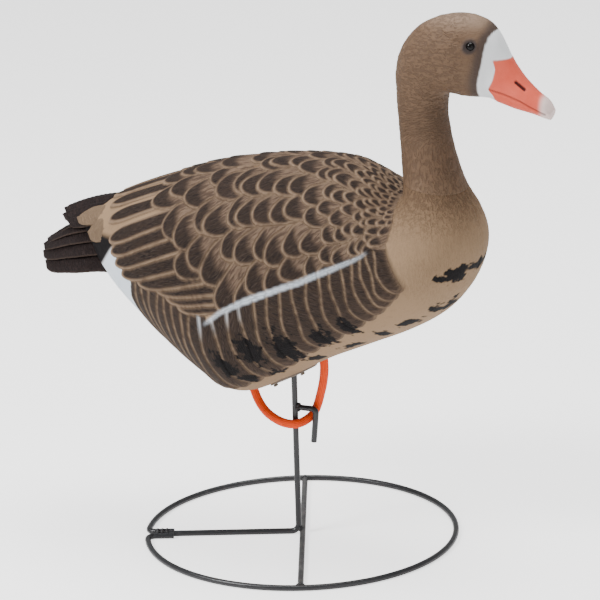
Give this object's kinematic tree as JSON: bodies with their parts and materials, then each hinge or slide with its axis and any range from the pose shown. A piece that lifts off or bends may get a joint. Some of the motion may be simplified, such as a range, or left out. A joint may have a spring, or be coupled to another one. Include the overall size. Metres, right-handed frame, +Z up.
{
  "type": "goose decoy on a motion stake",
  "caption": "Full-body moulded goose decoy that swivels and nods on a wire stake with a round hoop base, held by an orange elastic loop.",
  "frame": {"origin": "on the ground, under the upright stake's axis", "axes": "+X is the way the goose faces, +Y its left side, +Z up along the stake"},
  "size_m": [0.5901, 0.3424, 0.5941],
  "materials": {
    "coated_steel": "semi-gloss black powder coat over 1/4 in rod",
    "weld": "rippled weld beads under the same black coat",
    "nylon": "natural nylon",
    "body_plastic": "painted feather relief, matt brown, tan and black",
    "head_plastic": "painted fine relief, matt brown with white face and pink bill",
    "eye": "high gloss black",
    "socket_plastic": "moulded brown plastic",
    "screw_steel": "zinc plated",
    "elastic": "bright orange elastic"
  },
  "bodies": {
    "stand": {"ring_hoop": "coated_steel", "hoop_ends": "coated_steel", "stake_rod": "coated_steel", "cross_bar": "coated_steel", "loop_hook": "coated_steel", "weld_foot": "weld", "weld_hook": "weld", "weld_hoop_ends": "weld", "weld_bar_ends": "weld", "cord_loop": "elastic"},
    "swivel": {"swivel_cap": "nylon"},
    "decoy": {"body_shell": "body_plastic", "head_shell": "head_plastic", "eye_left": "eye", "eye_right": "eye", "socket_cone": "socket_plastic", "socket_screws": "screw_steel", "knot_front": "elastic", "knot_rear": "elastic"}
  },
  "joints": [
    {"name": "swivel_turn", "type": "hinge", "parent": "stand", "child": "swivel", "pos_m": [0, 0, 0.345], "axis": [0, 0, 1], "range_deg": [-25, 25], "stiffness_Nm_per_rad": 0.8},
    {"name": "nod", "type": "hinge", "parent": "swivel", "child": "decoy", "pos_m": [0, 0, 0.345], "axis": [0, 1, 0], "range_deg": [-4.5, 4.5], "stiffness_Nm_per_rad": 25, "deforming": ["cord_loop"]}
  ]
}
